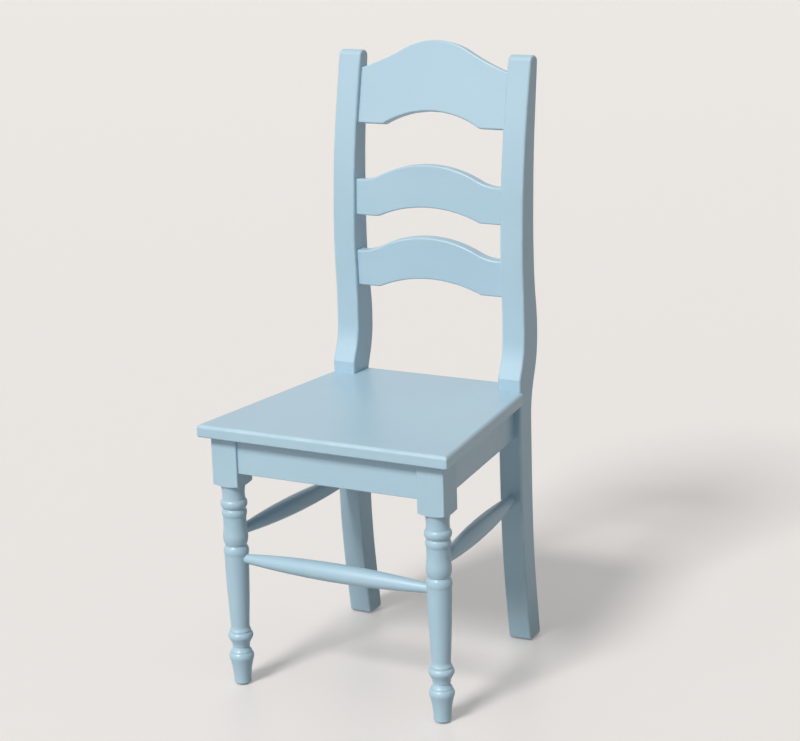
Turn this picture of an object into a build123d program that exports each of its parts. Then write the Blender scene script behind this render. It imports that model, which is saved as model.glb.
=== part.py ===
from build123d import *
import math
import os

# A painted ladder-back dining chair in solid wood. Millimetres, +Z up, the front of the chair towards -Y.
# While the pieces are made, Y is measured from the line through the front legs and grows towards the back.
# The whole chair is centred over its footprint when it is written.

# Seat panel
seat_height = 460.0  # floor to the top of the panel
seat_thickness = 21.0
seat_front_width = 455.5
seat_front_overhang = 17.25  # past the front faces of the leg blocks
seat_side_overhang = 15.75  # past the outer faces of the leg blocks, at the front edge
seat_wing_overhang = 6.0  # past the outer faces of the posts
seat_rear_overhang = 6.0  # past the rear faces of the posts
seat_top_edge_radius = 6.0
seat_under_edge_radius = 2.5
seat_corner_radius = 3.0
seat_notch_clearance = 0.4  # between the panel and the posts

# Front legs
leg_block = 47.5  # side of the square block at the top
leg_block_drop = 21.6  # how far the corners of the block reach below the aprons
leg_block_edge_radius = 2.0
leg_shoulder_angle = 15.5  # from level, of the turned shoulder under the block

# Turner's pattern of a front leg. Foot marks: radius, then height above the floor.
toe = (14.3, 4.0)
foot_waist = (15.8, 25.0)
foot_ring_low = (20.0, 45.2)
foot_ring = (20.8, 49.4)
foot_ring_top = (17.7, 57.2)
foot_fillet = (17.5, 59.4)
ankle_cove = (15.3, 62.8)
ankle = (13.4, 67.6)
ankle_fillet_low = (14.9, 68.8)
ankle_fillet_top = (14.9, 73.2)
ankle_bead_low = (19.9, 82.4)
ankle_bead = (21.0, 87.6)
ankle_bead_top = (17.9, 93.2)
shin_fillet = (17.9, 96.6)
shin_cove = (16.2, 99.8)
shin = (15.6, 105.5)
shaft_swell = 0.7  # of the shaft's middle, past a straight taper
# Upper marks: radius, then distance below the top of the neck.
neck = (20.7, 0.0)
neck_waist = (19.1, 9.0)
neck_low = (19.2, 25.5)
collar_bead = (22.2, 33.4)
collar_bead_low = (18.6, 40.6)
ring_bead_top = (18.6, 41.8)
ring_bead = (20.9, 48.4)
ring_bead_low = (19.4, 54.6)
vase_shoulder = (19.0, 68.0)
vase_belly = (20.7, 87.0)
vase_turn = (20.1, 97.8)
vase_low = (17.5, 105.6)
knee_bead_top = (18.6, 107.4)
knee_bead = (21.0, 114.2)
shaft_top = (20.2, 122.0)

# Rear posts, each one sawn piece from the floor to the top of the back
post_outer_width = 361.0  # across the outer faces of the two posts
post_width = 42.0  # one post, seen from the front
post_depth = 46.0  # one post at the seat, front to back
post_setback = 329.0  # from the line of the front legs to the front faces of the posts
post_edge_radius = 4.0
post_foot_radius = 5.0
post_kink_radius = 4.0
post_top_radius = 11.5
sweep = math.inf  # a corner that is rounded by as much as its two runs allow
run_share = 0.45  # how much of the shorter run a rounded corner may use
# Corners of the sawn lines: height, how far behind the face at the seat, and the corner's radius.
post_front_leg = [(0.0, 28.5, post_foot_radius), (160.0, 5.5, sweep), (300.0, 0.0, sweep)]
post_rear_leg = [(0.0, 26.0, post_foot_radius), (160.0, 4.0, sweep), (300.0, 0.0, sweep)]
# The same above the seat, with heights from the top of the seat.
post_front_back = [
    (20.5, 0.0, post_kink_radius),
    (64.0, 19.0, sweep),
    (140.0, 20.0, sweep),
    (228.0, 15.5, sweep),
    (350.0, 22.0, sweep),
    (455.0, 38.0, sweep),
    (558.0, 61.0, post_top_radius),
]
post_rear_back = [
    (-21.0, 0.0, sweep),
    (50.0, 27.5, sweep),
    (112.0, 30.0, sweep),
    (182.0, 19.5, sweep),
    (258.0, 17.5, sweep),
    (395.0, 22.5, sweep),
    (556.0, 42.5, post_top_radius),
]

# Crest rail and slats. Heights are above the seat, the rest is measured on the face of the board.
slat_thickness = 20.0
slat_setback = 8.0  # from the front faces of the posts
slat_edge_radius = 3.0
slat_corner_radius = 2.0
tenon_thickness = 10.0
tenon_length = 22.0
tenon_shoulder = 10.0  # left above and below a tenon
tenon_clearance = 0.15
lower_slat_height = 154.5
middle_slat_height = 278.5
slat_end_width = 62.5
slat_rise = 31.0  # of the crown above the ends
slat_crown_radius = 205.0
slat_crown_half = 92.5  # half the span of the crown, where it turns into the coves
slat_land = 9.0  # straight part of the top beside each post
slat_arch_half = 97.0
slat_arch_rise = 20.4
crest_height = 435.8
crest_end_width = 95.0
crest_rise = 49.7
crest_crown_radius = 125.0
crest_crown_half = 61.5
crest_arch_half = 91.0
crest_arch_rise = 25.3

# Aprons
apron_height = 61.5
apron_thickness = 20.0
front_apron_setback = 4.5  # behind the front faces of the leg blocks
side_apron_setback = 12.0  # behind the outer faces of the blocks and posts
rear_apron_setback = 8.0  # before the rear faces of the posts
apron_edge_radius = 1.5

# Stretchers
front_stretcher_drop = 128.0  # its axis below the top of the necks
side_stretcher_drop = 85.5
stretcher_end_radius = 8.0
front_stretcher_middle_radius = 15.8
side_stretcher_middle_radius = 15.8
stretcher_insertion = 15.0  # into a leg or post
socket_clearance = 0.15
socket_end_gap = 1.0

# Dowels between the aprons and the legs and posts
dowel_radius = 4.0
dowel_length = 30.0
dowel_chamfer = 1.0
dowel_clearance = 0.1
dowel_end_gap = 0.5
dowel_edge_distance = 16.0  # from the top and bottom edges of an apron

# Corner blocks and their screws
corner_block_thickness = 22.0
corner_block_height = 30.0
corner_block_gap = 2.0  # between a corner block and the leg or post
screw_radius = 2.0
screw_head_radius = 3.8
screw_head_height = 2.6
screw_tip_length = 3.0
screw_slot_width = 1.0
screw_slot_depth = 1.4
screw_clearance = 0.15
screw_head_clearance = 0.6
corner_screw_grip = 8.0  # wood of the corner block under a screw head
corner_screw_bite = 14.0  # thread in the apron
seat_screw_grip = 22.0
seat_screw_bite = 13.0  # thread in the seat panel

# Floor glides
glide_radius = 9.5
glide_thickness = 2.0
glide_edge_radius = 0.8
glide_pin_radius = 1.2
glide_pin_length = 14.0
glide_pin_clearance = 0.1

# Levels and lines that follow from the sizes above
seat_bottom = seat_height - seat_thickness
apron_bottom = seat_bottom - apron_height
leg_half = leg_block / 2
leg_x = seat_front_width / 2 - seat_side_overhang - leg_half
block_corner_radius = leg_half * math.sqrt(2)
block_bottom = apron_bottom - leg_block_drop
neck_top = block_bottom - (block_corner_radius - neck[0]) * math.tan(math.radians(leg_shoulder_angle))
post_outer = post_outer_width / 2
post_inner = post_outer - post_width
post_x = post_outer - post_width / 2
post_rear = post_setback + post_depth
front_apron_face = front_apron_setback - leg_half
front_apron_back = front_apron_face + apron_thickness
rear_apron_back = post_rear - rear_apron_setback
rear_apron_face = rear_apron_back - apron_thickness
side_apron_front = leg_x + leg_half - side_apron_setback  # outer face at the leg block
side_apron_rear = post_outer - side_apron_setback  # outer face at the post
side_lean = (side_apron_front - side_apron_rear) / (post_setback - leg_half)
side_angle = math.atan(side_lean)
side_across = apron_thickness / math.cos(side_angle)
dowel_levels = [apron_bottom + dowel_edge_distance, seat_bottom - dowel_edge_distance]
dowel_reach = dowel_length / 2
front_stretcher_level = neck_top - front_stretcher_drop
side_stretcher_level = neck_top - side_stretcher_drop
foot_bottom = glide_thickness
on_line = 0.01  # an edge or corner this close to a line lies on it
up = (0, 0, 1)
sides = {"left": -1, "right": 1}


def rod(start, direction, length, radius):
    """A solid cylinder that runs from a point in a direction."""
    base = Plane(origin=start, z_dir=direction)
    return base * Cylinder(radius, length, align=(Align.CENTER, Align.CENTER, Align.MIN))


def turned(lines):
    """A solid of revolution about Z. The lines give radius and height, and run from axis to axis."""
    outline = lines + [Line(lines[-1] @ 1, lines[0] @ 0)]
    return revolve(Plane.XZ * make_face(outline), Axis.Z)


def prism(points, bottom, height):
    """A straight prism on a plan outline."""
    return Pos(0, 0, bottom) * extrude(make_face(Polyline(*points, close=True)), height)


def sawn_outline(corners):
    """A closed outline whose corners (across, level, radius) are rounded as far as their runs allow."""
    points = [Vector(across, level) for across, level, _ in corners]
    radii = []
    for i, (_, _, wanted) in enumerate(corners):
        before = points[i - 1] - points[i]
        after = points[(i + 1) % len(points)] - points[i]
        half_turn = math.radians(180 - before.get_angle(after)) / 2
        room = run_share * min(before.length, after.length) / math.tan(half_turn)
        radii.append(min(wanted, room))
    return make_face(FilletPolyline(*points, radius=radii, close=True))


def post_line(leg, back, face):
    """Corners of one sawn line from the floor up, as (across, level, radius)."""
    low = [(face + behind, max(level, foot_bottom), radius) for level, behind, radius in leg]
    high = [(face + behind, seat_height + level, radius) for level, behind, radius in back]
    return low + high


front_line = post_line(post_front_leg, post_front_back, post_setback)
rear_line = post_line(post_rear_leg, post_rear_back, post_rear)


def post_front(level):
    """Where the front face of a post lies at a level."""
    for (low_y, low_z, _), (high_y, high_z, _) in zip(front_line, front_line[1:]):
        if level <= high_z:
            break
    return low_y + (high_y - low_y) * (level - low_z) / (high_z - low_z)


foot_y = (front_line[0][0] + rear_line[0][0]) / 2
stretcher_end_y = post_front(side_stretcher_level)  # where a side stretcher enters its post


def side_face(y):
    """X of the outer face of the right apron at a depth."""
    return side_apron_front - side_lean * (y - leg_half)


# Seat panel, notched round the posts
def make_seat():
    front = -leg_half - seat_front_overhang
    notch = post_setback - seat_notch_clearance
    tongue = post_inner - seat_notch_clearance
    half_front = seat_front_width / 2
    half_wing = post_outer + seat_wing_overhang
    rear = post_rear + seat_rear_overhang
    right = [(half_front, front), (half_wing, notch), (tongue, notch), (tongue, rear)]
    left = [(-x, y) for x, y in reversed(right)]
    panel = prism(right + left, seat_bottom, seat_thickness)
    uprights = panel.edges().filter_by(Axis.Z)
    panel = fillet(uprights.group_by(Axis.Y)[0], seat_corner_radius)

    def at_post(edge):
        middle = edge.center()
        return abs(abs(middle.X) - tongue) < on_line or abs(middle.Y - notch) < on_line

    top = panel.faces().sort_by(Axis.Z)[-1]
    panel = fillet([edge for edge in top.edges() if not at_post(edge)], seat_top_edge_radius)
    under = panel.faces().sort_by(Axis.Z)[0]
    return fillet([edge for edge in under.edges() if not at_post(edge)], seat_under_edge_radius)


# Front legs: a turned shaft under a square block with a turned shoulder
def leg_mark(mark):
    radius, drop = mark
    return (radius, neck_top - drop)


def make_leg(side):
    axis_point = (0, foot_bottom)
    shaft_end = leg_mark(shaft_top)
    shaft_middle = ((shin[0] + shaft_end[0]) / 2 + shaft_swell, (shin[1] + shaft_end[1]) / 2)
    turning = [
        Line(axis_point, (toe[0] - (toe[1] - foot_bottom), foot_bottom)),
        Line((toe[0] - (toe[1] - foot_bottom), foot_bottom), toe),
        ThreePointArc(toe, foot_waist, foot_ring_low),
        ThreePointArc(foot_ring_low, foot_ring, foot_ring_top),
        Line(foot_ring_top, foot_fillet),
        ThreePointArc(foot_fillet, ankle_cove, ankle),
        Line(ankle, ankle_fillet_low),
        Line(ankle_fillet_low, ankle_fillet_top),
        Line(ankle_fillet_top, ankle_bead_low),
        ThreePointArc(ankle_bead_low, ankle_bead, ankle_bead_top),
        Line(ankle_bead_top, shin_fillet),
        ThreePointArc(shin_fillet, shin_cove, shin),
        ThreePointArc(shin, shaft_middle, shaft_end),
        ThreePointArc(shaft_end, leg_mark(knee_bead), leg_mark(knee_bead_top)),
        Line(leg_mark(knee_bead_top), leg_mark(vase_low)),
        ThreePointArc(leg_mark(vase_low), leg_mark(vase_turn), leg_mark(vase_belly)),
        ThreePointArc(leg_mark(vase_belly), leg_mark(vase_shoulder), leg_mark(ring_bead_low)),
        ThreePointArc(leg_mark(ring_bead_low), leg_mark(ring_bead), leg_mark(ring_bead_top)),
        Line(leg_mark(ring_bead_top), leg_mark(collar_bead_low)),
        ThreePointArc(leg_mark(collar_bead_low), leg_mark(collar_bead), leg_mark(neck_low)),
        ThreePointArc(leg_mark(neck_low), leg_mark(neck_waist), leg_mark(neck)),
        Line(leg_mark(neck), (0, neck_top)),
    ]
    shoulder = turned(
        [
            Line((0, neck_top), leg_mark(neck)),
            Line(leg_mark(neck), (block_corner_radius, block_bottom)),
            Line((block_corner_radius, block_bottom), (block_corner_radius, seat_bottom)),
            Line((block_corner_radius, seat_bottom), (0, seat_bottom)),
        ]
    )
    block = Pos(0, 0, neck_top) * Box(
        leg_block, leg_block, seat_bottom - neck_top, align=(Align.CENTER, Align.CENTER, Align.MIN)
    )
    block = fillet(block.edges().filter_by(Axis.Z), leg_block_edge_radius)
    leg = Pos(side * leg_x, 0, 0) * (turned(turning) + (block & shoulder))
    for hole in leg_holes(side):
        leg -= hole
    return leg


def leg_holes(side):
    x = side * leg_x
    front_radius = leg_stretcher_radius(front_stretcher_drop)
    side_radius = leg_stretcher_radius(side_stretcher_drop)
    holes = [
        glide_hole(x, 0),
        socket((x, 0, front_stretcher_level), (-side, 0, 0), front_radius),
        socket((x, 0, side_stretcher_level), side_run(side), side_radius),
    ]
    return holes + front_dowel_holes(side) + side_dowel_holes(side, leg_half)


# Stretchers, turned with a round tenon at each end
def leg_stretcher_radius(drop):
    """Radius of the leg where a stretcher meets it: the vase above the knee bead, the shaft below."""
    return vase_belly[0] if drop < knee_bead[1] else shaft_top[0]


def side_run(side):
    """Direction of a side stretcher in plan, from the front leg to the middle of the post."""
    return Vector(side * (post_x - leg_x), stretcher_end_y, 0).normalized()


def socket(centre, direction, face_distance):
    """The hole for a stretcher in a piece whose face lies at a distance from a centre point."""
    reach = Vector(*direction) * (face_distance - stretcher_insertion - socket_end_gap)
    length = 2 * stretcher_insertion
    return rod(Vector(*centre) + reach, direction, length, stretcher_end_radius + socket_clearance)


def spindle(start, finish, middle_radius):
    """A stretcher whose faces of entry lie at two points, swelling from its ends to its middle."""
    run = finish - start
    near = stretcher_insertion
    far = near + run.length
    end = stretcher_end_radius
    body = turned(
        [
            Line((0, 0), (end, 0)),
            Line((end, 0), (end, near)),
            ThreePointArc((end, near), (middle_radius, (near + far) / 2), (end, far)),
            Line((end, far), (end, far + near)),
            Line((end, far + near), (0, far + near)),
        ]
    )
    return Plane(origin=start - run.normalized() * near, z_dir=run) * body


def make_front_stretcher():
    face = leg_x - leg_stretcher_radius(front_stretcher_drop)
    start = Vector(-face, 0, front_stretcher_level)
    finish = Vector(face, 0, front_stretcher_level)
    return spindle(start, finish, front_stretcher_middle_radius)


def make_side_stretcher(side):
    run = side_run(side)
    leg_axis = Vector(side * leg_x, 0, side_stretcher_level)
    start = leg_axis + run * leg_stretcher_radius(side_stretcher_drop)
    finish = Vector(side * post_x, stretcher_end_y, side_stretcher_level)
    return spindle(start, finish, side_stretcher_middle_radius)


# Aprons with their dowels
def dowel_hole(point, direction):
    """A hole for half a dowel, from a face into a piece."""
    return rod(point, direction, dowel_reach + dowel_end_gap, dowel_radius + dowel_clearance)


def dowel(point, direction):
    """A dowel with its middle at a point on the joint."""
    pin = Cylinder(dowel_radius, dowel_length)
    pin = chamfer(pin.edges().filter_by(GeomType.CIRCLE), dowel_chamfer)
    return Plane(origin=point, z_dir=direction) * pin


def front_dowel_points(side):
    middle = (front_apron_face + front_apron_back) / 2
    return [(side * (leg_x - leg_half), middle, level) for level in dowel_levels]


def rear_dowel_points(side):
    middle = (rear_apron_face + rear_apron_back) / 2
    return [(side * post_inner, middle, level) for level in dowel_levels]


def side_dowel_points(side, y):
    return [(side * (side_face(y) - side_across / 2), y, level) for level in dowel_levels]


def front_dowel_holes(side):
    return [dowel_hole(point, (side, 0, 0)) for point in front_dowel_points(side)]


def side_dowel_holes(side, y):
    into = -1 if y == leg_half else 1
    return [dowel_hole(point, (0, into, 0)) for point in side_dowel_points(side, y)]


def softened(board):
    """A board with its long lower edges eased."""
    bottom = board.faces().sort_by(Axis.Z)[0]
    long_edges = bottom.edges().sort_by(Edge.length)[-2:]
    return fillet(long_edges, apron_edge_radius)


def make_front_apron():
    end = leg_x - leg_half
    plan = [
        (-end, front_apron_face),
        (end, front_apron_face),
        (end, front_apron_back),
        (-end, front_apron_back),
    ]
    apron = softened(prism(plan, apron_bottom, apron_height))
    for side in sides.values():
        for point in front_dowel_points(side):
            apron -= dowel_hole(point, (-side, 0, 0))
        apron -= pilot_hole(*corner_screw_seats(side, "front")["cross"], corner_screw_bite)
    return apron


def make_rear_apron():
    plan = [
        (-post_inner, rear_apron_face),
        (post_inner, rear_apron_face),
        (post_inner, rear_apron_back),
        (-post_inner, rear_apron_back),
    ]
    apron = softened(prism(plan, apron_bottom, apron_height))
    for side in sides.values():
        for point in rear_dowel_points(side):
            apron -= dowel_hole(point, (-side, 0, 0))
        apron -= pilot_hole(*corner_screw_seats(side, "rear")["cross"], corner_screw_bite)
    return apron


def make_side_apron(side):
    plan = [
        (side * side_apron_front, leg_half),
        (side * side_apron_rear, post_setback),
        (side * (side_apron_rear - side_across), post_setback),
        (side * (side_apron_front - side_across), leg_half),
    ]
    apron = softened(prism(plan, apron_bottom, apron_height))
    for point in side_dowel_points(side, leg_half):
        apron -= dowel_hole(point, (0, 1, 0))
    for point in side_dowel_points(side, post_setback):
        apron -= dowel_hole(point, (0, -1, 0))
    for end in ("front", "rear"):
        apron -= pilot_hole(*corner_screw_seats(side, end)["side"], corner_screw_bite)
    return apron


# Corner blocks at 45 degrees behind the legs and in front of the rear apron
def corner_plan(end):
    """Plan of the right corner block: two points on the cross apron, then two on the side apron."""
    forward = 1 if end == "front" else -1  # which way the block leads away from its cross apron
    cross = front_apron_back if end == "front" else rear_apron_face
    obstacle_x = leg_x - leg_half if end == "front" else post_inner
    obstacle_y = leg_half if end == "front" else post_setback
    near = forward * obstacle_y - obstacle_x + corner_block_gap * math.sqrt(2)
    far = near + corner_block_thickness * math.sqrt(2)
    inner_at_zero = side_face(0) - side_across

    def on_cross(offset):
        return (forward * cross - offset, cross)

    def on_side(offset):
        x = (inner_at_zero - side_lean * forward * offset) / (1 + side_lean * forward)
        return (x, forward * (x + offset))

    return [on_cross(far), on_cross(near), on_side(near), on_side(far)]


def corner_screw_seats(side, end):
    """For both screws of a corner block: the middle of the joint and the direction into the apron."""
    far_cross, near_cross, near_side, far_side = corner_plan(end)
    level = seat_bottom - corner_block_height / 2
    cross_x = (far_cross[0] + near_cross[0]) / 2
    side_x = (near_side[0] + far_side[0]) / 2
    side_y = (near_side[1] + far_side[1]) / 2
    outwards = Vector(side * math.cos(side_angle), math.sin(side_angle), 0)
    return {
        "cross": ((side * cross_x, far_cross[1], level), (0, -1 if end == "front" else 1, 0)),
        "side": ((side * side_x, side_y, level), outwards),
    }


def seat_screw_point(side, end):
    """Where a seat screw crosses the underside of the seat."""
    plan = corner_plan(end)
    x = sum(point[0] for point in plan) / len(plan)
    y = sum(point[1] for point in plan) / len(plan)
    return (side * x, y, seat_bottom)


def make_corner_block(side, end):
    plan = [(side * x, y) for x, y in corner_plan(end)]
    block = prism(plan, seat_bottom - corner_block_height, corner_block_height)
    for point, into in corner_screw_seats(side, end).values():
        block -= clearance_hole(point, into, corner_screw_grip)
    return block - clearance_hole(seat_screw_point(side, end), up, seat_screw_grip)


# Screws with a cross slot
def screw(point, into, grip, bite):
    """A pan-head screw whose head bears a grip's length in front of a joint."""
    length = grip + bite
    body = turned(
        [
            Line((0, -screw_head_height), (screw_head_radius, -screw_head_height)),
            Line((screw_head_radius, -screw_head_height), (screw_head_radius, 0)),
            Line((screw_head_radius, 0), (screw_radius, 0)),
            Line((screw_radius, 0), (screw_radius, length - screw_tip_length)),
            Line((screw_radius, length - screw_tip_length), (0, length)),
        ]
    )
    slot_top = Pos(0, 0, -screw_head_height)
    arm = 2 * (screw_head_radius - screw_slot_width)
    low = (Align.CENTER, Align.CENTER, Align.MIN)
    body -= slot_top * Box(arm, screw_slot_width, screw_slot_depth, align=low)
    body -= slot_top * Box(screw_slot_width, arm, screw_slot_depth, align=low)
    return Plane(origin=Vector(*point) - Vector(*into) * grip, z_dir=into) * body


def pilot_hole(point, into, bite):
    """The hole for a screw's thread in the piece behind a joint."""
    return rod(point, into, bite + socket_end_gap, screw_radius + screw_clearance)


def clearance_hole(point, into, grip):
    """The stepped hole in the piece in front of a joint, for a screw's shank and head."""
    outwards = Vector(*into) * -1
    shank = rod(point, outwards, grip, screw_radius + screw_clearance)
    head_seat = Vector(*point) + outwards * grip
    return shank + rod(head_seat, outwards, corner_block_height, screw_head_radius + screw_head_clearance)


# Rear posts
def make_post(side):
    outline = sawn_outline(front_line + rear_line[::-1])
    start = side * post_x - post_width / 2
    post = extrude(Plane.YZ.offset(start) * outline, post_width)
    post = fillet(post.faces().filter_by(Axis.X).edges(), post_edge_radius)
    post -= glide_hole(side * post_x, foot_y)
    into_post = Vector(*side_run(side)) * -1
    entry = Vector(side * post_x, stretcher_end_y, side_stretcher_level)
    post -= socket(entry, into_post, 0)
    for point in rear_dowel_points(side):
        post -= dowel_hole(point, (side, 0, 0))
    for hole in side_dowel_holes(side, post_setback):
        post -= hole
    for board in boards.values():
        post -= board["place"] * tenon(board, side, tenon_clearance)
    return post


# Crest rail and slats: boards with a crowned top, an arched underside and a tenon at each end
def board_place(height, end_width):
    """Plane of a board's front face: X across, Y up the face, Z to the front."""
    low = seat_height + height
    high = low + end_width
    lean = math.atan2(post_front(high) - post_front(low), high - low)
    origin = (0, post_front(low) + slat_setback, low)
    return Plane(origin=origin, x_dir=(1, 0, 0), z_dir=(0, -math.cos(lean), math.sin(lean)))


slat_shape = {
    "end_width": slat_end_width,
    "rise": slat_rise,
    "crown_radius": slat_crown_radius,
    "crown_half": slat_crown_half,
    "land": slat_land,
    "arch_half": slat_arch_half,
    "arch_rise": slat_arch_rise,
}
crest_shape = {
    "end_width": crest_end_width,
    "rise": crest_rise,
    "crown_radius": crest_crown_radius,
    "crown_half": crest_crown_half,
    "land": 0.0,
    "arch_half": crest_arch_half,
    "arch_rise": crest_arch_rise,
}
boards = {
    "crest_rail": {**crest_shape, "place": board_place(crest_height, crest_end_width)},
    "middle_slat": {**slat_shape, "place": board_place(middle_slat_height, slat_end_width)},
    "lower_slat": {**slat_shape, "place": board_place(lower_slat_height, slat_end_width)},
}


def tenon(board, side, clearance):
    """The tenon at one end of a board in the board's own plane, or its mortise with a clearance."""
    length = tenon_length + (socket_end_gap if clearance else 0)
    height = board["end_width"] - 2 * tenon_shoulder + 2 * clearance
    thickness = tenon_thickness + 2 * clearance
    block = Box(length, height, thickness)
    middle = post_inner + length / 2
    return Pos(side * middle, board["end_width"] / 2, -slat_thickness / 2) * block


def board_outline(board):
    end = post_inner
    top = board["end_width"]
    apex = top + board["rise"]
    crown = board["crown_half"]
    crown_drop = board["crown_radius"] - math.sqrt(board["crown_radius"] ** 2 - crown**2)
    land_start = end - board["land"]
    arch = board["arch_half"]
    crown_arc = ThreePointArc((-crown, apex - crown_drop), (0, apex), (crown, apex - crown_drop))
    right_cove = TangentArc(crown_arc @ 1, (land_start, top), tangent=crown_arc % 1)
    lines = [crown_arc, right_cove, mirror(right_cove, about=Plane.YZ)]
    if board["land"]:
        lines.append(Line((land_start, top), (end, top)))
        lines.append(Line((-end, top), (-land_start, top)))
    lines += [
        Line((end, top), (end, 0)),
        Line((end, 0), (arch, 0)),
        ThreePointArc((arch, 0), (0, board["arch_rise"]), (-arch, 0)),
        Line((-arch, 0), (-end, 0)),
        Line((-end, 0), (-end, top)),
    ]
    outline = make_face(lines)
    low_corners = [v for v in outline.vertices() if abs(v.Y) < on_line]
    arch_corners = [v for v in low_corners if abs(abs(v.X) - arch) < on_line]
    return fillet(arch_corners, slat_corner_radius)


def make_board(board):
    blank = extrude(board_outline(board), -slat_thickness)
    faces = blank.faces().filter_by(Axis.Z)
    rims = [edge for edge in faces.edges() if abs(abs(edge.center().X) - post_inner) > on_line]
    blank = fillet(rims, slat_edge_radius)
    for side in sides.values():
        blank += tenon(board, side, 0)
    return board["place"] * blank


# Floor glides, each with a pin that is driven into its foot
def make_glide(x, y):
    disc = Cylinder(glide_radius, glide_thickness, align=(Align.CENTER, Align.CENTER, Align.MIN))
    disc = fillet(disc.edges().filter_by(GeomType.CIRCLE).sort_by(Axis.Z)[0], glide_edge_radius)
    pin = rod((0, 0, 0), up, glide_thickness + glide_pin_length, glide_pin_radius)
    return Pos(x, y, 0) * (disc + pin)


def glide_hole(x, y):
    radius = glide_pin_radius + glide_pin_clearance
    return rod((x, y, 0), up, glide_thickness + glide_pin_length + socket_end_gap, radius)


# All the pieces by name
pieces = {"front_stretcher": make_front_stretcher()}
pieces["front_apron"] = make_front_apron()
pieces["rear_apron"] = make_rear_apron()
for name, board in boards.items():
    pieces[name] = make_board(board)

seat = make_seat()
corner_screws = []
seat_screws = []
glides = []
front_dowels = []
rear_dowels = []
for name, side in sides.items():
    pieces[f"{name}_front_leg"] = make_leg(side)
    pieces[f"{name}_rear_post"] = make_post(side)
    pieces[f"{name}_apron"] = make_side_apron(side)
    pieces[f"{name}_stretcher"] = make_side_stretcher(side)
    side_points = side_dowel_points(side, leg_half) + side_dowel_points(side, post_setback)
    pieces[f"{name}_apron_dowels"] = Compound([dowel(point, (0, 1, 0)) for point in side_points])
    front_dowels += [dowel(point, (1, 0, 0)) for point in front_dowel_points(side)]
    rear_dowels += [dowel(point, (1, 0, 0)) for point in rear_dowel_points(side)]
    glides += [make_glide(side * leg_x, 0), make_glide(side * post_x, foot_y)]
    for end in ("front", "rear"):
        pieces[f"{name}_{end}_corner_block"] = make_corner_block(side, end)
        for point, into in corner_screw_seats(side, end).values():
            corner_screws.append(screw(point, into, corner_screw_grip, corner_screw_bite))
        point = seat_screw_point(side, end)
        seat_screws.append(screw(point, up, seat_screw_grip, seat_screw_bite))
        seat -= pilot_hole(point, up, seat_screw_bite)

pieces["seat_panel"] = seat
pieces["front_apron_dowels"] = Compound(front_dowels)
pieces["rear_apron_dowels"] = Compound(rear_dowels)
pieces["corner_block_screws"] = Compound(corner_screws)
pieces["seat_screws"] = Compound(seat_screws)
pieces["floor_glides"] = Compound(glides)

# The origin is on the floor under the middle of the chair's outline
extent = Compound(list(pieces.values())).bounding_box()
middle_y = (extent.min.Y + extent.max.Y) / 2
to_middle = Pos(0, -middle_y, 0)

os.makedirs("parts", exist_ok=True)
for name, piece in pieces.items():
    export_step(to_middle * piece, f"parts/{name}.step")

print("chair size", [round(v, 1) for v in extent.size])
print("front legs at y", round(-middle_y, 3))
print("rear feet at y", round(foot_y - middle_y, 3))
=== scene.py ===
# %% [markdown]
# # A painted ladder-back chair
# The object is a wooden dining chair, painted pale blue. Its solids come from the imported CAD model, which is
# loaded here as a fixed frame. The painted pieces are then made again as finer meshes, each in the place of
# its solid, and every piece gets a finish. All sizes below are millimetres, as on a maker's drawing, with Y
# measured from the line through the front legs. They are turned into metres once, when a piece is finished.

import math

import bmesh
import bpy
from mathutils import Matrix, Vector


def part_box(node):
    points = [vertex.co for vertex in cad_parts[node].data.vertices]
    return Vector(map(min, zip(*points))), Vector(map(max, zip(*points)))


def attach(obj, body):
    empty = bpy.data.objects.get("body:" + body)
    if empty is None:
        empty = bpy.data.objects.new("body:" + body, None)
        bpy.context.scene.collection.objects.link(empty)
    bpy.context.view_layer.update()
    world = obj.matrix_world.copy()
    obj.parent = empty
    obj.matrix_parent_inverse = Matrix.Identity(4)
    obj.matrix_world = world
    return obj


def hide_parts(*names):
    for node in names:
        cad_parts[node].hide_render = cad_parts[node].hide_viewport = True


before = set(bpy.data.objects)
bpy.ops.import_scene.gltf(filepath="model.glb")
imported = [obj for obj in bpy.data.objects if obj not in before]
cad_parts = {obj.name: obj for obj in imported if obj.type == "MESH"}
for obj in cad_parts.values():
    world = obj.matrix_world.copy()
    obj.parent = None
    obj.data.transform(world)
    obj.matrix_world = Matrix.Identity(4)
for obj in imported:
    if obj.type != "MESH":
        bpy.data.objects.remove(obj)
scene = bpy.context.scene
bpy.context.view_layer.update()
low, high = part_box("front_stretcher")
leg_line = (low.y + high.y) / 2
print("nodes", len(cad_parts), "front legs stand at y", round(leg_line, 4))

# %% [markdown]
# ## A pencil for outlines
# A woodworker draws a piece's outline before sawing or turning it. The same is done here with bmesh: one
# vertex is the pencil's tip. Extruding it draws a straight line, and spinning it about a centre draws an arc.
# A true arc is worth the small effort, because a smooth paint shows every flat in a curve.

# %% Pencil
CHORD_ERROR = 0.01  # largest gap between an arc and its chords
SAME_POINT = 0.001  # points that lie closer are merged
NEAR = 0.01  # slack where the place of a point is tested
MARGIN = 1.0  # points further apart than this lie on different faces


def pencil(point):
    bm = bmesh.new()
    return bm, bm.verts.new(point)


def line_to(bm, tip, point):
    drawn = bmesh.ops.extrude_vert_indiv(bm, verts=[tip])["verts"][0]
    drawn.co = point
    return drawn


def arc_to(bm, tip, centre, end):
    """Draws the shorter arc about a centre from the tip to an end point."""
    start_arm = tip.co - centre
    end_arm = end - centre
    angle = start_arm.angle(end_arm)
    steps = max(2, math.ceil(angle / math.sqrt(8 * CHORD_ERROR / start_arm.length)))
    drawn = bmesh.ops.spin(
        bm, geom=[tip], cent=centre, axis=start_arm.cross(end_arm).normalized(), angle=angle, steps=steps,
        use_merge=False, use_duplicate=False,
    )["geom_last"][0]
    drawn.co = end
    return drawn


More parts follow.
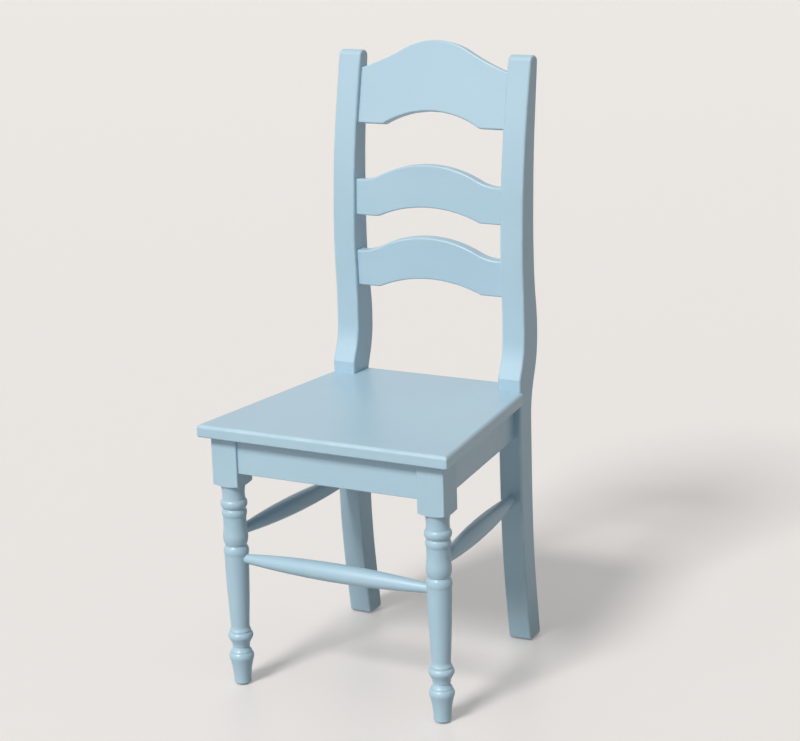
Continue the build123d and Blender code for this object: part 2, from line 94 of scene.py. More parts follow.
def circle_centre(first, second, third):
    """Centre of the circle through three points."""
    a = second - first
    b = third - first
    n = a.cross(b)
    return first + (n.cross(a) * b.length_squared + b.cross(n) * a.length_squared) / (2 * n.length_squared)


def close_outline(bm):
    """Joins the last point to the first and fills the outline with one face."""
    bmesh.ops.remove_doubles(bm, verts=bm.verts, dist=SAME_POINT)
    return bmesh.ops.contextual_create(bm, geom=bm.edges[:])["faces"][0]


def grow(bm, face, reach):
    """Extrudes a face along a vector."""
    grown = bmesh.ops.extrude_face_region(bm, geom=[face])["geom"]
    bmesh.ops.translate(bm, vec=reach, verts=[v for v in grown if isinstance(v, bmesh.types.BMVert)])
    bm.normal_update()


# %% [markdown]
# ## From a bmesh to a finished piece
# Every piece ends the same way: its normals are made to point outwards, it is scaled to metres and set on the
# frame's leg line, its hard corners are marked, and it takes the place of its solid. A Weighted Normal
# modifier keeps broad flat faces flat next to their rounded edges.

# %% Finishing a piece
MILLIMETRE = 0.001
HARD_CORNER = math.radians(35)
pieces = {}


def finish_piece(bm, node):
    bmesh.ops.remove_doubles(bm, verts=bm.verts, dist=SAME_POINT)
    bmesh.ops.recalc_face_normals(bm, faces=bm.faces)
    bmesh.ops.scale(bm, vec=(MILLIMETRE, MILLIMETRE, MILLIMETRE), verts=bm.verts)
    bmesh.ops.translate(bm, vec=(0, leg_line, 0), verts=bm.verts)
    mesh = bpy.data.meshes.new(node + "_painted")
    bm.to_mesh(mesh)
    bm.free()
    mesh.shade_smooth()
    mesh.set_sharp_from_angle(angle=HARD_CORNER)
    piece = bpy.data.objects.new(node + "_painted", mesh)
    scene.collection.objects.link(piece)
    flatten = piece.modifiers.new("flat faces stay flat", "WEIGHTED_NORMAL")
    flatten.keep_sharp = True
    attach(piece, "root")
    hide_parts(node)
    pieces[node] = piece
    print(piece.name, "faces", len(mesh.polygons))


# %% [markdown]
# ## Edges that a hand has eased
# Sharp arrises don't hold paint, so a maker rounds them. A bevel does that. The middle of each rounded strip
# is also noted in a vertex attribute, and there the finish paints the edge lighter: partly as thinner paint,
# partly as a painted highlight.

# %% Eased edges
SQUARE_ON = 0.999  # least cosine between an axis and the normal of a face that looks along it


def ease(bm, edges, radius, segments):
    # marks the middle of each rounded strip, which the finish paints lighter: thinner paint and a painted
    # highlight
    worn_lit_edge = bm.verts.layers.float.get("edge_wear_and_highlight") or bm.verts.layers.float.new("edge_wear_and_highlight")
    rounded = bmesh.ops.bevel(
        bm, geom=edges, offset=radius, offset_type="OFFSET", segments=segments, profile=0.5, affect="EDGES",
        material=-1, clamp_overlap=False,
    )
    strip = set(rounded["faces"])
    for vert in rounded["verts"]:
        if vert.is_valid and all(face in strip for face in vert.link_faces):
            vert[worn_lit_edge] = 1.0
    bm.normal_update()


def rims(bm, axis, keep=lambda edge: True):
    """Edges round the two flat faces that look along an axis."""
    flat = [face for face in bm.faces if abs(face.normal.dot(axis)) > SQUARE_ON]
    edges = {edge for face in flat for edge in face.edges}
    return [edge for edge in edges if keep(edge)]


# %% [markdown]
# ## Rear posts
# Each post is one board, sawn to a curve: it rakes back below the seat, kinks just above it and sweeps back
# to a domed top. Its side view is drawn from corner points, each rounded by an arc, and extruded to the
# post's width. The same corners are in the solid, so both have the same outline.

# %% Outline of the posts
SEAT_TOP = 460.0
SEAT_BOTTOM = 439.0
POST_X = 159.5
POST_WIDTH = 42.0
POST_FRONT = 329.0
POST_REAR = 375.0
POST_EDGE = 4.0
FOOT = 2.0
FOOT_RADIUS = 5.0
DOME = 11.5
SWEEP = math.inf
RUN_SHARE = 0.45  # most of a straight run that one rounded corner may use

# Level, distance behind the front or rear face, and radius of each corner
front_line = [
    (FOOT, 28.5, FOOT_RADIUS), (160.0, 5.5, SWEEP), (300.0, 0.0, SWEEP), (480.5, 0.0, 4.0),
    (524.0, 19.0, SWEEP), (600.0, 20.0, SWEEP), (688.0, 15.5, SWEEP), (810.0, 22.0, SWEEP),
    (915.0, 38.0, SWEEP), (1018.0, 61.0, DOME),
]
rear_line = [
    (FOOT, 26.0, FOOT_RADIUS), (160.0, 4.0, SWEEP), (300.0, 0.0, SWEEP), (439.0, 0.0, SWEEP),
    (510.0, 27.5, SWEEP), (572.0, 30.0, SWEEP), (642.0, 19.5, SWEEP), (718.0, 17.5, SWEEP),
    (855.0, 22.5, SWEEP), (1016.0, 42.5, DOME),
]
print("corners", len(front_line), "in front and", len(rear_line), "behind")


# %% Rear posts
def rounded_outline(bm, corners):
    """Draws straight runs between corners (point, radius), with an arc at each corner."""
    tip = None
    for index, (corner, radius) in enumerate(corners):
        before = corners[index - 1][0] - corner
        after = corners[(index + 1) % len(corners)][0] - corner
        half = before.angle(after) / 2
        room = RUN_SHARE * min(before.length, after.length)
        reach = min(radius / math.tan(half), room)
        start = corner + before.normalized() * reach
        tip = line_to(bm, tip, start) if tip else bm.verts.new(start)
        inwards = (before.normalized() + after.normalized()).normalized()
        centre = corner + inwards * (reach / math.cos(half))
        tip = arc_to(bm, tip, centre, corner + after.normalized() * reach)
    first = bm.verts[:][0]
    line_to(bm, tip, first.co)


def rear_post(side):
    outline = [(Vector((0, POST_FRONT + back, level)), radius) for level, back, radius in front_line]
    outline += [(Vector((0, POST_REAR + back, level)), radius) for level, back, radius in rear_line[::-1]]
    bm = bmesh.new()
    rounded_outline(bm, outline)
    face = close_outline(bm)
    bmesh.ops.translate(bm, vec=(side * POST_X - POST_WIDTH / 2, 0, 0), verts=bm.verts)
    grow(bm, face, Vector((POST_WIDTH, 0, 0)))
    ease(bm, rims(bm, Vector((1, 0, 0))), POST_EDGE, segments=5)
    return bm


finish_piece(rear_post(-1), "left_rear_post")
finish_piece(rear_post(1), "right_rear_post")

# %% [markdown]
# ## Crest rail and slats
# Three boards fill the back. Each has a crowned top that runs out in two coves, an arched underside, and a
# tenon at each end that the posts hide. The boards lean with the posts, so each is drawn flat on its own face
# and then set in place. A tenon is an inset of the end face that is extruded.

# %% Outline of a board
POST_INNER = 138.5
BOARD = 20.0
BOARD_SETBACK = 8.0
BOARD_EDGE = 3.0
TENON = 22.0
TENON_THICKNESS = 10.0
TENON_SHOULDER = 10.0
ARCH_CORNER = 2.0
CREST_LEVEL = 895.8
MIDDLE_LEVEL = 738.5
LOWER_LEVEL = 614.5

slat = dict(
    end_width=62.5, rise=31.0, crown_radius=205.0, crown_half=92.5, land=9.0, arch_half=97.0, arch_rise=20.4
)
crest = dict(
    end_width=95.0, rise=49.7, crown_radius=125.0, crown_half=61.5, land=0.0, arch_half=91.0, arch_rise=25.3
)


def board_outline(end_width, rise, crown_radius, crown_half, land, arch_half, arch_rise):
    """A board's face, with X across it and Y up it."""
    apex = Vector((0, end_width + rise, 0))
    crown_centre = apex - Vector((0, crown_radius, 0))
    crown_angle = math.asin(crown_half / crown_radius)
    crown_end = crown_centre + crown_radius * Vector((math.sin(crown_angle), math.cos(crown_angle), 0))
    cove_end = Vector((POST_INNER - land, end_width, 0))
    outwards = (crown_end - crown_centre).normalized()
    chord = cove_end - crown_end
    cove_centre = crown_end + outwards * (chord.length_squared / (2 * outwards.dot(chord)))
    arch_end = Vector((arch_half, 0, 0))
    arch_top = Vector((0, arch_rise, 0))
    flip = Matrix.Diagonal((-1, 1, 1))
    arch_centre = circle_centre(arch_end, arch_top, flip @ arch_end)

    bm, tip = pencil(arch_end)
    tip = line_to(bm, tip, Vector((POST_INNER, 0, 0)))
    tip = line_to(bm, tip, Vector((POST_INNER, end_width, 0)))
    if land:
        tip = line_to(bm, tip, cove_end)
    tip = arc_to(bm, tip, cove_centre, crown_end)
    tip = arc_to(bm, tip, crown_centre, flip @ crown_end)
    tip = arc_to(bm, tip, flip @ cove_centre, flip @ cove_end)
    if land:
        tip = line_to(bm, tip, Vector((-POST_INNER, end_width, 0)))
    tip = line_to(bm, tip, Vector((-POST_INNER, 0, 0)))
    tip = line_to(bm, tip, flip @ arch_end)
    arc_to(bm, tip, arch_centre, arch_end)
    close_outline(bm)
    return bm


# %% Crest rail and slats
def post_face(level):
    """Y of the posts' front faces at a level."""
    for (low_z, low_y, _), (high_z, high_y, _) in zip(front_line, front_line[1:]):
        if level <= high_z:
            break
    return POST_FRONT + low_y + (high_y - low_y) * (level - low_z) / (high_z - low_z)


def board_place(level, end_width):
    """Matrix from a board's own face to its place in the back."""
    lean = math.atan2(post_face(level + end_width) - post_face(level), end_width)
    across = Vector((1, 0, 0))
    up = Vector((0, math.sin(lean), math.cos(lean)))
    front = across.cross(up)
    place = Matrix((across, up, front)).transposed().to_4x4()
    place.translation = (0, post_face(level) + BOARD_SETBACK, level)
    return place


def add_tenon(bm, side, end_width):
    end = max(bm.faces, key=lambda f: side * f.calc_center_median().x * (abs(f.normal.x) > SQUARE_ON))
    bmesh.ops.inset_region(bm, faces=[end], thickness=(BOARD - TENON_THICKNESS) / 2)
    height = max(v.co.y for v in end.verts) - min(v.co.y for v in end.verts)
    middle = Matrix.Translation((0, -end_width / 2, 0))
    squeeze = (end_width - 2 * TENON_SHOULDER) / height
    bmesh.ops.scale(bm, vec=(1, squeeze, 1), space=middle, verts=end.verts[:])
    grow(bm, end, Vector((side * TENON, 0, 0)))
    bmesh.ops.delete(bm, geom=[end], context="FACES_ONLY")


def back_board(level, form):
    bm = board_outline(**form)
    corners = [v for v in bm.verts if abs(v.co.y) < NEAR and abs(abs(v.co.x) - form["arch_half"]) < NEAR]
    bmesh.ops.bevel(
        bm, geom=corners, offset=ARCH_CORNER, offset_type="OFFSET", segments=3, profile=0.5,
        affect="VERTICES", material=-1,
    )
    grow(bm, bm.faces[:][0], Vector((0, 0, -BOARD)))

    def is_free(edge):
        return any(abs(abs(v.co.x) - POST_INNER) > NEAR for v in edge.verts)

    ease(bm, rims(bm, Vector((0, 0, 1)), is_free), BOARD_EDGE, segments=4)
    for side in (-1, 1):
        add_tenon(bm, side, form["end_width"])
    bmesh.ops.transform(bm, matrix=board_place(level, form["end_width"]), verts=bm.verts)
    return bm


finish_piece(back_board(CREST_LEVEL, crest), "crest_rail")
finish_piece(back_board(MIDDLE_LEVEL, slat), "middle_slat")
finish_piece(back_board(LOWER_LEVEL, slat), "lower_slat")

# %% [markdown]
# ## Seat panel
# The seat is a flat panel, wider at the front. Its wings end at the posts' front faces and a tongue runs on
# between the posts. The plan is drawn once and extruded. Edges that a hand can reach are then rounded, with
# the front corners last, while those against the posts stay square.

# %% Seat panel
SEAT_FRONT = -41.0
SEAT_FRONT_HALF = 227.72
SEAT_WING_HALF = 186.5
SEAT_NOTCH = 328.6
SEAT_REAR = 381.0
SEAT_TONGUE_HALF = 138.1
SEAT_TOP_EDGE = 6.0
SEAT_UNDER_EDGE = 2.5
SEAT_CORNER = 3.0
CORNER_TURN = math.radians(20)


def in_reach(edge):
    a, b = (v.co for v in edge.verts)
    along_notch = abs(a.y - SEAT_NOTCH) < NEAR and abs(b.y - SEAT_NOTCH) < NEAR
    along_tongue = abs(abs(a.x) - SEAT_TONGUE_HALF) < NEAR and abs(a.x - b.x) < NEAR
    return not (along_notch or along_tongue)


def at_front_corner(edge):
    a, b = (v.co for v in edge.verts)
    turned = edge.calc_face_angle() > CORNER_TURN
    return turned and abs(a.z - b.z) > NEAR and max(a.y, b.y) < SEAT_FRONT + 2 * SEAT_TOP_EDGE


def seat_panel():
    plan = [
        (SEAT_FRONT_HALF, SEAT_FRONT), (SEAT_WING_HALF, SEAT_NOTCH), (SEAT_TONGUE_HALF, SEAT_NOTCH),
        (SEAT_TONGUE_HALF, SEAT_REAR),
    ]
    right = [Vector((x, y, SEAT_BOTTOM)) for x, y in plan]
    left = [Vector((-x, y, SEAT_BOTTOM)) for x, y in plan[::-1]]
    bm, tip = pencil(right[0])
    for corner in right[1:] + left + right[:1]:
        tip = line_to(bm, tip, corner)
    grow(bm, close_outline(bm), Vector((0, 0, SEAT_TOP - SEAT_BOTTOM)))
    up = Vector((0, 0, 1))
    under = [edge for edge in rims(bm, up, in_reach) if edge.verts[0].co.z < SEAT_BOTTOM + MARGIN]
    ease(bm, under, SEAT_UNDER_EDGE, segments=4)
    top = [edge for edge in rims(bm, up, in_reach) if edge.verts[0].co.z > SEAT_TOP - MARGIN]
    ease(bm, top, SEAT_TOP_EDGE, segments=6)
    arris = [edge for edge in bm.edges if edge.is_manifold and at_front_corner(edge)]
    ease(bm, arris, SEAT_CORNER, segments=3)
    return bm


finish_piece(seat_panel(), "seat_panel")

# %% [markdown]
# ## Front legs
# A front leg is turned on a lathe, and its top stays a square block. The turner's pattern is a chain of arcs
# and lines, from the toe through rings, beads and a vase up to the neck. Each mark on it is a radius with a
# height above the floor, or with a distance below the top of the neck.

# %% Turner's pattern
NECK_TOP = 352.326
NECK = 20.7
SHAFT_SWELL = 0.7

foot_marks = dict(
    toe=(14.3, 4.0), foot_waist=(15.8, 25.0), foot_ring_low=(20.0, 45.2), foot_ring=(20.8, 49.4),
    foot_ring_top=(17.7, 57.2), foot_fillet=(17.5, 59.4), ankle_cove=(15.3, 62.8), ankle=(13.4, 67.6),
    ankle_fillet_low=(14.9, 68.8), ankle_fillet_top=(14.9, 73.2), ankle_bead_low=(19.9, 82.4),
    ankle_bead=(21.0, 87.6), ankle_bead_top=(17.9, 93.2), shin_fillet=(17.9, 96.6), shin_cove=(16.2, 99.8),
    shin=(15.6, 105.5),
)
neck_marks = dict(
    neck=(NECK, 0.0), neck_waist=(19.1, 9.0), neck_low=(19.2, 25.5), collar_bead=(22.2, 33.4),
    collar_bead_low=(18.6, 40.6), ring_bead_top=(18.6, 41.8), ring_bead=(20.9, 48.4),
    ring_bead_low=(19.4, 54.6), vase_shoulder=(19.0, 68.0), vase_belly=(20.7, 87.0), vase_turn=(20.1, 97.8),
    vase_low=(17.5, 105.6), knee_bead_top=(18.6, 107.4), knee_bead=(21.0, 114.2), shaft_top=(20.2, 122.0),
)
marks = {name: Vector((radius, 0, level)) for name, (radius, level) in foot_marks.items()}
marks.update({name: Vector((radius, 0, NECK_TOP - drop)) for name, (radius, drop) in neck_marks.items()})
marks["shaft"] = (marks["shin"] + marks["shaft_top"]) / 2 + Vector((SHAFT_SWELL, 0, 0))

# Middle and end of each arc, or no middle and the end of a line
turning = [
    ("foot_waist", "foot_ring_low"), ("foot_ring", "foot_ring_top"), (None, "foot_fillet"),
    ("ankle_cove", "ankle"), (None, "ankle_fillet_low"), (None, "ankle_fillet_top"), (None, "ankle_bead_low"),
    ("ankle_bead", "ankle_bead_top"), (None, "shin_fillet"), ("shin_cove", "shin"), ("shaft", "shaft_top"),
    ("knee_bead", "knee_bead_top"), (None, "vase_low"), ("vase_turn", "vase_belly"),
    ("vase_shoulder", "ring_bead_low"), ("ring_bead", "ring_bead_top"), (None, "collar_bead_low"),
    ("collar_bead", "neck_low"), ("neck_waist", "neck"),
]
print("marks", len(marks), "arcs and lines", len(turning))

# %% [markdown]
# The pattern is spun round the leg's axis. The block is spun too, as a plain drum, and its points are then
# pushed out to the square, down to the shallow shoulder that the turner's chisel leaves under it.

# %% Front legs
LEG_X = 188.25
BLOCK_HALF = 23.75
BLOCK_CORNER = 2.0
SHOULDER = math.tan(math.radians(15.5))  # slope of the shoulder under the block
DRUM = 26.0
LEG_TURNS = 256


def spin_round(bm, turns):
    """Turns a drawn profile into a solid of revolution about Z."""
    bmesh.ops.spin(
        bm, geom=bm.verts[:] + bm.edges[:], cent=(0, 0, 0), axis=(0, 0, 1), angle=2 * math.pi, steps=turns,
        use_merge=True, use_duplicate=False,
    )
    bmesh.ops.remove_doubles(bm, verts=bm.verts, dist=SAME_POINT)


def to_square(direction):
    """Distance from the axis to the block's side in a direction, round its eased corners."""
    across = max(abs(direction.x), abs(direction.y))
    along = min(abs(direction.x), abs(direction.y))
    straight = BLOCK_HALF - BLOCK_CORNER
    if BLOCK_HALF * along / across <= straight:
        return BLOCK_HALF / across
    reach = straight * (across + along)
    return reach + math.sqrt(reach * reach - 2 * straight * straight + BLOCK_CORNER * BLOCK_CORNER)


def shoulder_level(reach):
    return NECK_TOP + (reach - NECK) * SHOULDER


def front_leg(side):
    toe = marks["toe"]
    bm, tip = pencil(Vector((0, 0, FOOT)))
    tip = line_to(bm, tip, Vector((toe.x - (toe.z - FOOT), 0, FOOT)))
    tip = line_to(bm, tip, toe)
    for middle, end in turning:
        if middle:
            tip = arc_to(bm, tip, circle_centre(tip.co, marks[middle], marks[end]), marks[end])
        else:
            tip = line_to(bm, tip, marks[end])
    tip = line_to(bm, tip, Vector((DRUM, 0, shoulder_level(DRUM))))
    tip = line_to(bm, tip, Vector((DRUM, 0, SEAT_BOTTOM)))
    line_to(bm, tip, Vector((0, 0, SEAT_BOTTOM)))
    spin_round(bm, LEG_TURNS)
    for vert in bm.verts:
        flat = Vector((vert.co.x, vert.co.y, 0))
        if flat.length > DRUM - MARGIN:
            reach = to_square(flat.normalized())
            level = vert.co.z if vert.co.z > SEAT_BOTTOM - MARGIN else shoulder_level(reach)
            vert.co = flat.normalized() * reach + Vector((0, 0, level))
    bmesh.ops.translate(bm, vec=(side * LEG_X, 0, 0), verts=bm.verts)
    return bm


finish_piece(front_leg(-1), "left_front_leg")
finish_piece(front_leg(1), "right_front_leg")

# %% [markdown]
# ## Stretchers
# Three turned rails brace the legs. Each swells in one long arc from its ends to its middle, and its ends are
# round tenons in the legs. The side rails run from a front leg to the middle of a post, so they close in a
# little towards the back. Each is spun upright and then laid along its run.

# %% Stretchers
STRETCHER_END = 8.0
STRETCHER_MIDDLE = 15.8
STRETCHER_TENON = 15.0
STRETCHER_TURNS = 72
FRONT_DROP = 128.0
SIDE_DROP = 85.5
FRONT_LEVEL = NECK_TOP - FRONT_DROP
SIDE_LEVEL = NECK_TOP - SIDE_DROP


def stretcher(start, finish):
    run = finish - start
    near = STRETCHER_TENON
    far = near + run.length
    points = [Vector((STRETCHER_END, 0, level)) for level in (0, near, far, far + near)]
    belly = Vector((STRETCHER_MIDDLE, 0, (near + far) / 2))
    bm, tip = pencil(Vector((0, 0, 0)))
    tip = line_to(bm, tip, points[0])
    tip = line_to(bm, tip, points[1])
    tip = arc_to(bm, tip, circle_centre(points[1], belly, points[2]), points[2])
    tip = line_to(bm, tip, points[3])
    line_to(bm, tip, Vector((0, 0, far + near)))
    spin_round(bm, STRETCHER_TURNS)
    place = run.to_track_quat("Z", "Y").to_matrix().to_4x4()
    place.translation = start - run.normalized() * near
    bmesh.ops.transform(bm, matrix=place, verts=bm.verts)
    return bm


front_reach = LEG_X - marks["shaft_top"].x
front_start, front_finish = (Vector((side * front_reach, 0, FRONT_LEVEL)) for side in (-1, 1))
finish_piece(stretcher(front_start, front_finish), "front_stretcher")
for side, node in ((-1, "left_stretcher"), (1, "right_stretcher")):
    leg_axis = Vector((side * LEG_X, 0, SIDE_LEVEL))
    post_entry = Vector((side * POST_X, post_face(SIDE_LEVEL), SIDE_LEVEL))
    leg_entry = leg_axis + (post_entry - leg_axis).normalized() * marks["vase_belly"].x
    finish_piece(stretcher(leg_entry, post_entry), node)

# %% [markdown]
# ## Finishes
# Every finish is a tree of shader nodes. Two small helpers build it: one adds a node and gives its outputs,
# the other fills inputs, with a constant or with a link from an output.

# %% Node helpers
def fill(node, inputs):
    for name, value in inputs.items():
        if isinstance(value, bpy.types.NodeSocket):
            node.id_data.links.new(value, node.inputs[name])
        else:
            node.inputs[name].default_value = value


def add(owner, kind, inputs, **settings):
    """Adds a node to a material or a world."""
    node = owner.node_tree.nodes.new(kind)
    for name, value in settings.items():
        setattr(node, name, value)
    fill(node, inputs)
    return node.outputs


def add_ramp(owner, value, start, start_colour, end, end_colour):
    colour = add(owner, "ShaderNodeValToRGB", {"Fac": value})["Color"]
    first, last = colour.node.color_ramp.elements
    first.position, first.color = start, start_colour
    last.position, last.color = end, end_colour
    return colour


def start_material(name):
    material = bpy.data.materials.new(name)
    material.use_nodes = True
    return material, material.node_tree.nodes["Principled BSDF"]


# %% [markdown]
# A real painted chair isn't one flat colour. The paint varies a little in tone, the wood's grain shows
# through as faint long ridges, and the surface has a fine skin from the roller. The eased edges are painted
# lighter, partly as thinner paint and partly as a painted highlight. The grain follows each piece's length,
# so the paint is made three times, once for each direction. Everything is read from Object coordinates, so a
# pattern stays on its piece in every view.

# %% Painted wood
PAINT_DARK = (0.410, 0.583, 0.692, 1)
PAINT_LIGHT = (0.442, 0.615, 0.724, 1)
# lighter colour for the eased edges: thinner paint, and partly a painted highlight
PAINT_WORN_AND_HIGHLIT = (0.64, 0.78, 0.84, 1)
ALONG_GRAIN = 0.03  # scale of the grain's pattern along the wood, against 1 across it


def painted_wood(name, stretch):
    """Pale blue satin paint over wood whose grain runs along the axis with the small stretch."""
    material, shader = start_material(name)
    place = add(material, "ShaderNodeTexCoord", {})["Object"]
    tone = add(material, "ShaderNodeTexNoise", {"Vector": place, "Scale": 5.0, "Detail": 3.0})["Fac"]
    tones = add_ramp(material, tone, 0.3, PAINT_DARK, 0.7, PAINT_LIGHT)

    along = add(material, "ShaderNodeMapping", {"Vector": place, "Scale": stretch})["Vector"]
    grain = add(
        material, "ShaderNodeTexNoise", {"Vector": along, "Scale": 420.0, "Detail": 5.0, "Roughness": 0.6}
    )["Fac"]
    shade = add(material, "ShaderNodeMapRange", {"Value": grain, "To Min": 0.965, "To Max": 1.03})["Result"]
    grained = add(
        material, "ShaderNodeMix", {"Factor": 1.0, "A": tones, "B": shade},
        data_type="RGBA", blend_type="MULTIPLY",
    )["Result"]

    # eased edges are mixed towards a lighter colour, in patches: partly thinner paint, partly a painted
    # highlight
    worn_lit_edge = add(material, "ShaderNodeAttribute", {}, attribute_name="edge_wear_and_highlight")["Fac"]
    patches = add(material, "ShaderNodeTexNoise", {"Vector": place, "Scale": 38.0, "Detail": 4.0})["Fac"]
    patchy = add(
        material, "ShaderNodeMapRange", {"Value": patches, "From Min": 0.35, "From Max": 0.75, "To Max": 0.4}
    )["Result"]
    edge_wear_and_highlight_mask = add(material, "ShaderNodeMath", {0: worn_lit_edge, 1: patchy}, operation="MULTIPLY")["Value"]
    colour = add(
        material, "ShaderNodeMix", {"Factor": edge_wear_and_highlight_mask, "A": grained, "B": PAINT_WORN_AND_HIGHLIT}, data_type="RGBA"
    )["Result"]

    gloss = add(material, "ShaderNodeMapRange", {"Value": tone, "To Min": 0.30, "To Max": 0.40})["Result"]
    skin = add(material, "ShaderNodeTexNoise", {"Vector": place, "Scale": 620.0, "Detail": 2.0})["Fac"]
    ridges = add(
        material, "ShaderNodeBump", {"Height": grain, "Strength": 0.10, "Distance": 0.0004}
    )["Normal"]
    surface = add(
        material, "ShaderNodeBump", {"Height": skin, "Strength": 0.08, "Distance": 0.0003, "Normal": ridges}
    )["Normal"]
    fill(shader, {"Base Color": colour, "Roughness": gloss, "Normal": surface, "IOR": 1.5})
    print("made", name)
    return material


paint_across = painted_wood("satin paint, grain across", (ALONG_GRAIN, 1, 1))
paint_deep = painted_wood("satin paint, grain front to back", (1, ALONG_GRAIN, 1))
paint_upright = painted_wood("satin paint, grain upright", (1, 1, ALONG_GRAIN))

# %% [markdown]
# ## Hidden wood, steel and glides
# Corner blocks and dowels are never painted: they are plain beech. The screws are bright steel and the glides
# under the feet are dark moulded plastic, both with a fine texture. These pieces stay as CAD nodes, because
# their plain shapes are right as they are.

# %% Bare wood, steel and plastic
BEECH_DARK = (0.42, 0.25, 0.13, 1)
BEECH_LIGHT = (0.66, 0.46, 0.29, 1)
STEEL_DARK = (0.48, 0.48, 0.49, 1)
STEEL_LIGHT = (0.66, 0.66, 0.67, 1)
PLASTIC_DARK = (0.018, 0.018, 0.019, 1)
PLASTIC_LIGHT = (0.032, 0.032, 0.034, 1)


def bare_wood(name):
    material, shader = start_material(name)
    place = add(material, "ShaderNodeTexCoord", {})["Object"]
    along = add(material, "ShaderNodeMapping", {"Vector": place, "Scale": (0.12, 0.12, 1)})["Vector"]
    rings = add(
        material, "ShaderNodeTexNoise", {"Vector": along, "Scale": 260.0, "Detail": 6.0, "Distortion": 0.4}
    )["Fac"]
    colour = add_ramp(material, rings, 0.32, BEECH_DARK, 0.68, BEECH_LIGHT)
    dull = add(material, "ShaderNodeMapRange", {"Value": rings, "To Min": 0.55, "To Max": 0.75})["Result"]
    pores = add(material, "ShaderNodeBump", {"Height": rings, "Strength": 0.25, "Distance": 0.0004})["Normal"]
    fill(shader, {"Base Color": colour, "Roughness": dull, "Normal": pores})
    print("made", name)
    return material


def fine_grained(name, dark, light, scale, smoothest, roughest, metallic):
    """A plain hard finish with a fine texture in colour, roughness and bump."""
    material, shader = start_material(name)
    place = add(material, "ShaderNodeTexCoord", {})["Object"]
    texture = add(material, "ShaderNodeTexNoise", {"Vector": place, "Scale": scale, "Detail": 4.0})["Fac"]
    colour = add_ramp(material, texture, 0.3, dark, 0.7, light)
    dull = add(
        material, "ShaderNodeMapRange", {"Value": texture, "To Min": smoothest, "To Max": roughest}
    )["Result"]
    bump = add(
        material, "ShaderNodeBump", {"Height": texture, "Strength": 0.15, "Distance": 0.0002}
    )["Normal"]
    fill(shader, {"Base Color": colour, "Roughness": dull, "Normal": bump, "Metallic": metallic})
    print("made", name)
    return material


beech = bare_wood("bare beech")
steel = fine_grained(
    "bright steel", STEEL_DARK, STEEL_LIGHT, scale=900.0, smoothest=0.28, roughest=0.42, metallic=1.0
)
plastic = fine_grained(
    "dark moulded plastic", PLASTIC_DARK, PLASTIC_LIGHT, scale=1200.0, smoothest=0.5, roughest=0.65,
    metallic=0.0,
)

# %% Give every piece its finish
finishes = {
    paint_across: ["crest_rail", "middle_slat", "lower_slat", "front_stretcher", "front_apron", "rear_apron"],
    paint_deep: ["seat_panel", "left_stretcher", "right_stretcher", "left_apron", "right_apron"],
    paint_upright: ["left_rear_post", "right_rear_post", "left_front_leg", "right_front_leg"],
    beech: [
        "left_front_corner_block", "right_front_corner_block", "left_rear_corner_block",
        "right_rear_corner_block", "front_apron_dowels", "rear_apron_dowels", "left_apron_dowels",
        "right_apron_dowels",
    ],
    steel: ["corner_block_screws", "seat_screws"],
    plastic: ["floor_glides"],
}
for material, nodes in finishes.items():
    for node in nodes:
        piece = pieces.get(node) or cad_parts[node]
        piece.data.materials.clear()
        piece.data.materials.append(material)
    print(material.name, "on", len(nodes), "pieces")

# %% [markdown]
# ## Floor, light and camera
# A plain pale floor and a pale world stand round the chair. Rays that are seen, mirrored or let through meet
# the pale colours, and all other rays meet darker ones, so that floor and world add little light to the
# chair. The floor glows faintly for the first kind of ray, which keeps the shadow on it pale.

# %% Rays that are seen
def seen_rays(owner):
    """1 on rays that are seen, mirrored or let through, and 0 on all others."""
    ray = add(owner, "ShaderNodeLightPath", {})
    seen = ray["Is Camera Ray"]
    for kind in ("Is Glossy Ray", "Is Transmission Ray"):
        seen = add(owner, "ShaderNodeMath", {0: seen, 1: ray[kind]}, operation="MAXIMUM")["Value"]
    return seen


# %% Floor
FLOOR_HALF = 30.0
FLOOR_ROUGHNESS = 0.42
FLOOR_UNSEEN = (0.36, 0.36, 0.355, 1)
FLOOR_SEEN = (0.710, 0.672, 0.647, 1)
FLOOR_GLOW_COLOUR = (1.0, 0.965, 0.94, 1)
FLOOR_GLOW = 0.165

floor_mesh = bpy.data.meshes.new("floor")
bm = bmesh.new()
bmesh.ops.create_grid(bm, x_segments=1, y_segments=1, size=FLOOR_HALF)
bm.to_mesh(floor_mesh)
bm.free()
floor = bpy.data.objects.new("floor", floor_mesh)
scene.collection.objects.link(floor)
floor_paint, shader = start_material("pale floor")
seen = seen_rays(floor_paint)
colour = add(
    floor_paint, "ShaderNodeMix", {"Factor": seen, "A": FLOOR_UNSEEN, "B": FLOOR_SEEN}, data_type="RGBA"
)["Result"]
glow = add(floor_paint, "ShaderNodeMath", {0: seen, 1: FLOOR_GLOW}, operation="MULTIPLY")["Value"]
fill(shader, {
    "Base Color": colour, "Roughness": FLOOR_ROUGHNESS, "Emission Color": FLOOR_GLOW_COLOUR,
    "Emission Strength": glow,
})
floor_mesh.materials.append(floor_paint)
print("floor", 2 * FLOOR_HALF, "m square")

# %% World
WORLD_UNSEEN = {"Color": (0.90, 0.98, 1.0, 1), "Strength": 0.222}
WORLD_SEEN = {"Color": (0.85, 0.815, 0.79, 1), "Strength": 1.0}

scene.view_settings.view_transform = "Standard"
world = bpy.data.worlds.new("pale surround")
world.use_nodes = True
unseen_world = world.node_tree.nodes["Background"]
fill(unseen_world, WORLD_UNSEEN)
seen_world = add(world, "ShaderNodeBackground", WORLD_SEEN)
chosen = add(world, "ShaderNodeMixShader", {
    "Fac": seen_rays(world), 1: unseen_world.outputs["Background"], 2: seen_world["Background"],
})
fill(world.node_tree.nodes["World Output"], {"Surface": chosen["Shader"]})
scene.world = world
print("world", world.name)

# %% [markdown]
# A broad key lamp from the front left draws the shadow. A very soft lamp overhead lifts the seat, and a small
# panel at the front left puts the sheen on the rails and the turned legs.

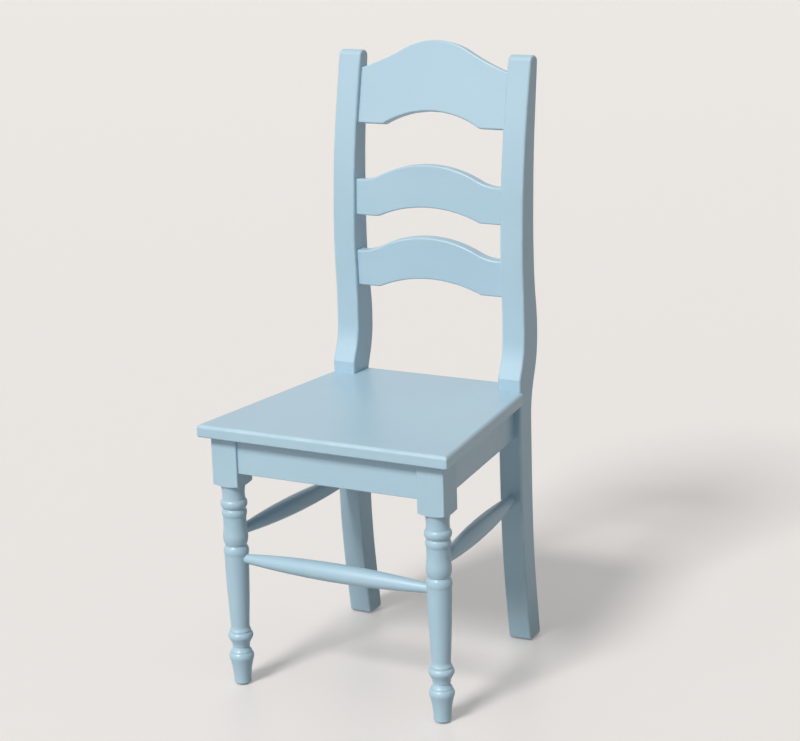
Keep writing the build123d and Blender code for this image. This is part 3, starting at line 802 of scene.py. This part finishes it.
# %% Lamps
PANEL_PLACE = Vector((-1.83, -3.41, 1.85))
PANEL_TARGET = Vector((0, 0.03, 0.95))


def direction(azimuth, height):
    """Vector towards a place at degrees to the right of the front and above the floor."""
    azimuth, height = math.radians(azimuth), math.radians(height)
    level = math.cos(height)
    return Vector((math.sin(azimuth) * level, -math.cos(azimuth) * level, math.sin(height)))


def add_lamp(name, kind, towards, **settings):
    light = bpy.data.lights.new(name, kind)
    for setting, value in settings.items():
        setattr(light, setting, value)
    lamp = bpy.data.objects.new(name, light)
    lamp.rotation_euler = towards.to_track_quat("Z", "Y").to_euler()
    scene.collection.objects.link(lamp)
    print(name, "towards", [round(v, 2) for v in towards])
    return lamp


add_lamp("key lamp", "SUN", direction(-10, 44), energy=2.45, angle=math.radians(16), color=(1.0, 0.99, 0.98))
add_lamp("overhead lamp", "SUN", direction(0, 90), energy=0.28, angle=math.radians(60))
panel = add_lamp(
    "sheen panel", "AREA", PANEL_PLACE - PANEL_TARGET, energy=11.5, shape="RECTANGLE", size=1.3, size_y=0.9
)
panel.location = PANEL_PLACE

# %% [markdown]
# The camera was found by matching the corners of the chair, so it has the view, the height and the tilt of
# the photograph.

# %% Camera
LENS = 95.78
SENSOR = 36.0
VIEW_AZIMUTH = 28.29
VIEW_HEIGHT = 15.18
VIEW_ROLL = math.radians(-1.69)
VIEW_PLACE = (1.6349, leg_line - 2.7974, 1.4390)

camera_data = bpy.data.cameras.new("main view")
camera_data.sensor_fit = "HORIZONTAL"
camera_data.sensor_width = SENSOR
camera_data.lens = LENS
camera = bpy.data.objects.new("main view", camera_data)
back = direction(VIEW_AZIMUTH, VIEW_HEIGHT)
right = (-back).cross(Vector((0, 0, 1))).normalized()
up = back.cross(right)
turned_right = right * math.cos(VIEW_ROLL) + up * math.sin(VIEW_ROLL)
turned_up = up * math.cos(VIEW_ROLL) - right * math.sin(VIEW_ROLL)
camera.matrix_world = Matrix((turned_right, turned_up, back)).transposed().to_4x4()
camera.location = VIEW_PLACE
scene.collection.objects.link(camera)
scene.camera = camera
print("camera at", [round(v, 3) for v in camera.location])
